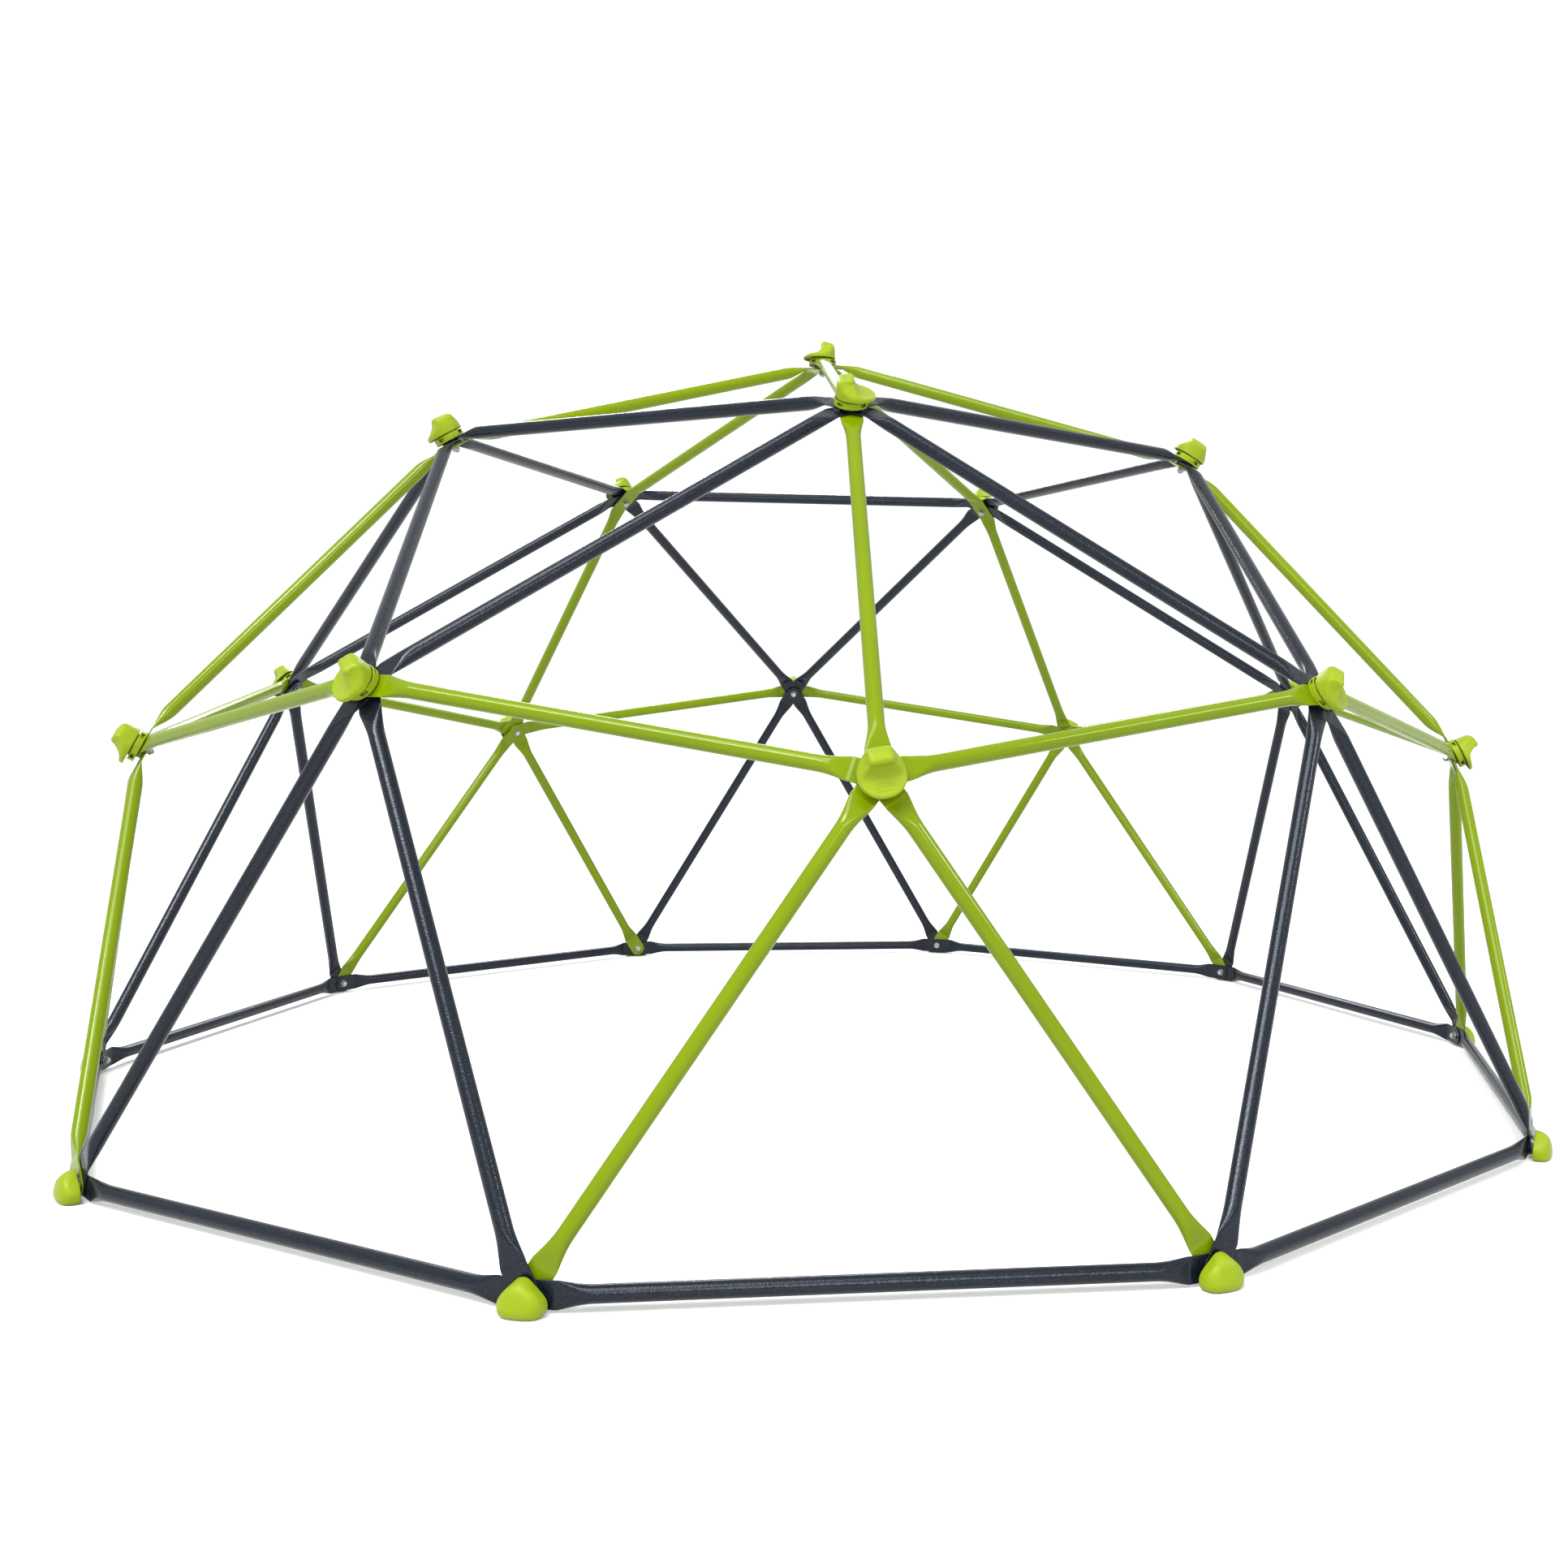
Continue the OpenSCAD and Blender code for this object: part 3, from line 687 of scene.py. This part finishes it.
def base_field(x, y, z):
    """A dish with an outer wall and a collar, and four windows in the wall"""
    radius = np.hypot(x, y)
    floor = np.maximum(np.maximum(radius - RING_R + 0.6, HOLE_R - radius), z - CAP_WALL)
    wall = np.abs(radius - RING_R + CAP_WALL / 2) - CAP_WALL / 2
    collar = np.abs(radius - SKIRT_R - SKIRT_PLAY - CAP_WALL / 2) - CAP_WALL / 2
    made = smooth_min(floor, np.minimum(wall, collar), FINE)
    made = smooth_max(smooth_max(made, z - RING_H, FINE), -z, 0.6)
    across = np.minimum(np.abs(x + y), np.abs(x - y)) / math.sqrt(2)
    window = np.maximum(across - WINDOW_HALF_W, np.abs(z - WINDOW_AT) - WINDOW_HALF_H)
    return smooth_max(made, -np.maximum(window, WINDOW_IN - radius), 0.5)


# Side of a foot cap's bulging face, as depth and height
FOOT_SIDE = Outline(np.vstack([
    curve([(-20, 40), (-2, 34), (8, 28.5), (15, 22.6), (21, 15.6), (26, 6.8), (29.8, -4), (31.9, -13),
           (31.6, -21), (29, -30)]),
    [(26, -40), (-20, -40)],
]))
FOOT_HALF = [(37.4, -20), (37.4, 0), (36.4, 8), (33, 16), (26.5, 23.4), (16, 29.6), (0, 32.2)]
FOOT_TOP = Outline(curve(FOOT_HALF + [(-x, z) for x, z in FOOT_HALF[-2::-1]]))
FOOT_PLAN = Outline([(23, -11), (0, 11.6), (-23, -11)])
FOOT_ROUND, BOSS_R, SOCKET_DEEP = 14.0, 10.0, 4.2


def foot_form(x, y, z):
    """The outer form of a foot cap, with no inner end"""
    made = smooth_max(FOOT_PLAN(x, y) - FOOT_ROUND, FOOT_SIDE(z, y), 11.0)
    return smooth_max(made, FOOT_TOP(x, z), 12.0)


def hexagon(x, y, flats):
    """Distance from a hexagon that measures this much across its flats"""
    x, y = np.abs(x), np.abs(y)
    return np.maximum(x * 0.5 + y * math.cos(math.pi / 6), x) - flats / 2


def foot_field(x, y, z):
    """A foot cap's shell with a boss inside that has a socket for the bolt's head"""
    form = foot_form(x, y, z)
    shell = smooth_max(smooth_max(form, -z, SOFT), -(form + CAP_WALL), FINE)
    boss = np.maximum(np.maximum(np.hypot(x, y) - BOSS_R, form + CAP_WALL / 2), -z)
    made = smooth_min(shell, boss, FINE)
    socket = np.maximum(hexagon(x, y, HEX_AF + 2 * CLEAR), z - SOCKET_DEEP)
    return np.maximum(made, -socket)


def caps():
    shell = meshed(cap_field, (-46, -38.5, -13), (31, 38.5, 41), 1.3)
    dish = meshed(base_field, (-32.5, -32.5, -1.5), (32.5, 32.5, 14), 1.0)
    hubs = [("crown", CROWN, CROWN_TABS, CROWN_HEADING, "crown_cap", "crown_cap_base")]
    for i in range(SIDES):
        for kind, hub, tabs, headings in (
            ("ring", ring(i), RING_TABS, RING_HEADINGS),
            ("corner", corner(i), CORNER_TABS, CORNER_HEADINGS),
            ("middle", middle(i), MIDDLE_TABS, MIDDLE_HEADINGS),
        ):
            hubs.append((f"{kind}_{i + 1}", hub, tabs, headings[i], f"{kind}_caps", f"{kind}_cap_bases"))
    for name, hub, tabs, heading, shell_node, dish_node in hubs:
        foot = stack_top(tabs) + CLEAR
        lift = foot + RING_H + CAP_GAP
        piece(f"cap_shell_{name}", shell.placed(on_hub(hub, lift, heading)), LIME, shell_node, 60)
        piece(f"cap_dish_{name}", dish.placed(on_hub(hub, foot)), LIME, dish_node, 60)
    foot_cap = meshed(foot_field, (-39.5, -27.5, -2), (39.5, 27.5, 35), 1.2)
    for i, foot in enumerate(FEET):
        made = foot_cap.placed(on_hub(foot, stack_top(FOOT_TABS) + FOOT_GAP, -90))
        piece(f"foot_cap_{i + 1}", made, LIME, "foot_caps", 60)


# ---- Fasteners ----

ROUND = 48                             # points round a fastener


def stacked(rings, closed):
    """Joins rings of points, listed so that outside is on the right of the way they run"""
    verts = np.vstack(rings)
    faces = []
    for r in range(len(rings) if closed else len(rings) - 1):
        n = (r + 1) % len(rings)
        for k in range(ROUND):
            m = (k + 1) % ROUND
            faces.append([r * ROUND + k, r * ROUND + m, n * ROUND + m, n * ROUND + k])
    if not closed:
        faces.append(list(range(ROUND - 1, -1, -1)))
        faces.append([(len(rings) - 1) * ROUND + k for k in range(ROUND)])
    return Shape(verts, faces)


ANGLES = np.arange(ROUND) * 2 * math.pi / ROUND
HEX_EDGE = HEX_AF / 2 / np.cos((ANGLES + math.pi / 6) % (math.pi / 3) - math.pi / 6)
CHAMFER = 0.5                          # drop of a hexagon's chamfer for each step outwards
HEX_FACE = HEX_AF / 2 * 0.97           # radius of the round face inside the chamfer
HEX_DROP = (HEX_EDGE - HEX_FACE) * CHAMFER
LEAD = 0.6                             # chamfer at the mouth of a nut's bore and the tip of a bolt


def ring_at(radius, height):
    radius, height = np.broadcast_to(radius, ROUND), np.broadcast_to(height, ROUND)
    return np.column_stack([radius * np.cos(ANGLES), radius * np.sin(ANGLES), height])


def washer(radius, thick):
    edge = 0.25
    return stacked([
        ring_at(HOLE_R, edge), ring_at(HOLE_R + edge, 0), ring_at(radius - edge, 0), ring_at(radius, edge),
        ring_at(radius, thick - edge), ring_at(radius - edge, thick), ring_at(HOLE_R + edge, thick),
        ring_at(HOLE_R, thick - edge),
    ], True)


def nut():
    """A nut that hangs below z = 0"""
    bore = BOLT_R + 0.05
    return stacked([
        ring_at(bore, -NUT_T + LEAD), ring_at(bore + LEAD, -NUT_T), ring_at(HEX_FACE, -NUT_T),
        ring_at(HEX_EDGE, -NUT_T + HEX_DROP), ring_at(HEX_EDGE, -HEX_DROP), ring_at(HEX_FACE, 0),
        ring_at(bore + LEAD, 0), ring_at(bore, -LEAD),
    ], True)


def bolt(shank):
    """A hex bolt whose head stands on z = 0, with its thread below"""
    pitch, thread_long, depth = 1.25, 16.0, 0.65
    rings = [ring_at(LEAD, -shank), ring_at(BOLT_R - 1.0, -shank)]
    for z in np.arange(-shank + 0.8, -shank + thread_long, pitch / 6):
        saw = (z / pitch - ANGLES / (2 * math.pi)) % 1
        rings.append(ring_at(BOLT_R - depth * np.abs(2 * saw - 1), z))
    rings += [
        ring_at(BOLT_R, -shank + thread_long + 0.5), ring_at(BOLT_R, 0), ring_at(HEX_FACE, 0),
        ring_at(HEX_EDGE, HEX_DROP), ring_at(HEX_EDGE, HEAD_T - HEX_DROP), ring_at(HEX_FACE, HEAD_T),
        ring_at(HEX_FACE - LEAD, HEAD_T), ring_at(LEAD, HEAD_T),
    ]
    return stacked(rings, False)


def spring_washer():
    """A split ring of square wire, its ends sprung apart"""
    count, gap, rise, wire = 56, 0.12, 0.35, SPRING_T - 0.4
    verts, faces = [], []
    for k in range(count + 1):
        a = gap + (2 * math.pi - 2 * gap) * k / count
        z = rise * k / count
        for r, h in ((HOLE_R, z), (SPRING_R, z), (SPRING_R, z + wire), (HOLE_R, z + wire)):
            verts.append((r * math.cos(a), r * math.sin(a), h))
    for k in range(count):
        for e in range(4):
            n = (e + 1) % 4
            faces.append([4 * k + e, 4 * k + 4 + e, 4 * k + 4 + n, 4 * k + n][::-1])
    faces += [[0, 1, 2, 3], [4 * count + e for e in (3, 2, 1, 0)]]
    return Shape(verts, faces)


def fasteners():
    upper = [(CROWN, CROWN_TABS)]
    for i in range(SIDES):
        upper += [(ring(i), RING_TABS), (corner(i), CORNER_TABS), (middle(i), MIDDLE_TABS)]
    for kind, hubs, head_gap in (
        ("hub", upper, 2 * CLEAR + CAP_WALL),
        ("foot", [(foot, FOOT_TABS) for foot in FEET], 3 * CLEAR + WASHER_T + SPRING_T),
    ):
        bolts, nuts, washers, springs = [], [], [], []
        for hub, tabs in hubs:
            top = stack_top(tabs)
            nut_top = -top - 2 * CLEAR - WASHER_T
            head_at = top + head_gap
            bolts.append(bolt(head_at - nut_top + NUT_T + THREAD_END).placed(on_hub(hub, head_at)))
            nuts.append(nut().placed(on_hub(hub, nut_top)))
            washers.append(washer(NUT_WASHER_R, WASHER_T).placed(on_hub(hub, -top - CLEAR - WASHER_T)))
            if kind == "foot":
                washers.append(washer(WASHER_R, WASHER_T).placed(on_hub(hub, top + CLEAR)))
                springs.append(spring_washer().placed(on_hub(hub, top + 2 * CLEAR + WASHER_T)))
        piece(f"{kind}_bolt_set", joined(bolts), ZINC, f"{kind}_bolts", 35)
        piece(f"{kind}_nut_set", joined(nuts), ZINC, f"{kind}_nuts", 35)
        piece(f"{kind}_washer_set", joined(washers), ZINC, f"{kind}_washers", 35)
        if springs:
            piece(f"{kind}_spring_washer_set", joined(springs), ZINC, f"{kind}_washers", 35)


# ---- Floor, lights and camera ----


def floor():
    """A wide, flat, pale disc"""
    around = 96
    verts, faces = [(0.0, 0.0, 0.0)], []
    for r in (3.0, 9.0, 60.0):
        for k in range(around):
            a = 2 * math.pi * k / around
            verts.append((r * math.cos(a), r * math.sin(a), 0.0))
    for k in range(around):
        n = (k + 1) % around
        faces.append([0, 1 + k, 1 + n])
        for row in (0, around):
            faces.append([1 + row + k, 1 + row + around + k, 1 + row + around + n, 1 + row + n])
    mesh = bpy.data.meshes.new("floor")
    mesh.from_pydata(verts, [], faces)
    mesh.materials.append(pale_floor())
    obj = bpy.data.objects.new("floor", mesh)
    bpy.context.scene.collection.objects.link(obj)


def hung(light, place, facing):
    obj = bpy.data.objects.new(light.name, light)
    obj.location = place
    obj.rotation_mode = "QUATERNION"
    obj.rotation_quaternion = facing.to_track_quat("-Z", "Y")
    bpy.context.scene.collection.objects.link(obj)


def softbox(name, place, aim, size, power):
    light = bpy.data.lights.new(name, "AREA")
    light.shape, light.size, light.size_y, light.energy = "RECTANGLE", size[0], size[1], power
    hung(light, place, Vector(aim) - Vector(place))


def camera():
    """In front of the dome, a little to the left and at about half its height"""
    place, pan, pitch, roll = Vector((-0.2241, -3.6176, 0.8235)), -7.5375, -1.2717, 0.5896
    data = bpy.data.cameras.new("camera")
    data.sensor_width, data.lens = 36.0, 36.94
    data.shift_x, data.shift_y = -0.0942, -0.0342
    data.clip_start, data.clip_end = 0.05, 100.0
    obj = bpy.data.objects.new("camera", data)
    turn_to = (Matrix.Rotation(math.radians(pan), 4, "Z") @ Matrix.Rotation(math.radians(90 + pitch), 4, "X")
               @ Matrix.Rotation(math.radians(roll), 4, "Z"))
    obj.matrix_world = Matrix.Translation(place) @ turn_to
    bpy.context.scene.collection.objects.link(obj)
    bpy.context.scene.camera = obj


def studio():
    floor()
    world = bpy.data.worlds.new("studio")
    world.use_nodes = True
    sky = world.node_tree.nodes["Background"]
    sky.inputs["Color"].default_value = (0.98, 0.99, 1.0, 1.0)
    sky.inputs["Strength"].default_value = 1.1
    bpy.context.scene.world = world
    wash = bpy.data.lights.new("wash", "SUN")
    wash.energy, wash.angle = 3.4, math.radians(40)
    hung(wash, (0, 0, 0), Vector((0.35, 0.5, -1.0)))
    softbox("key", (-3.4, -4.2, 5.2), (0, 0, 0.6), (3.4, 0.8), 260)
    softbox("front", (0.6, -6.4, 2.6), (0, 0, 0.7), (3.0, 1.2), 130)
    softbox("fill", (4.6, -3.0, 3.6), (0, 0, 0.7), (2.0, 0.8), 110)
    softbox("back", (-0.6, 5.2, 4.4), (0, 0, 0.7), (3.4, 0.8), 220)
    bpy.context.scene.view_settings.view_transform = "Standard"


tubes()
caps()
fasteners()
studio()
camera()
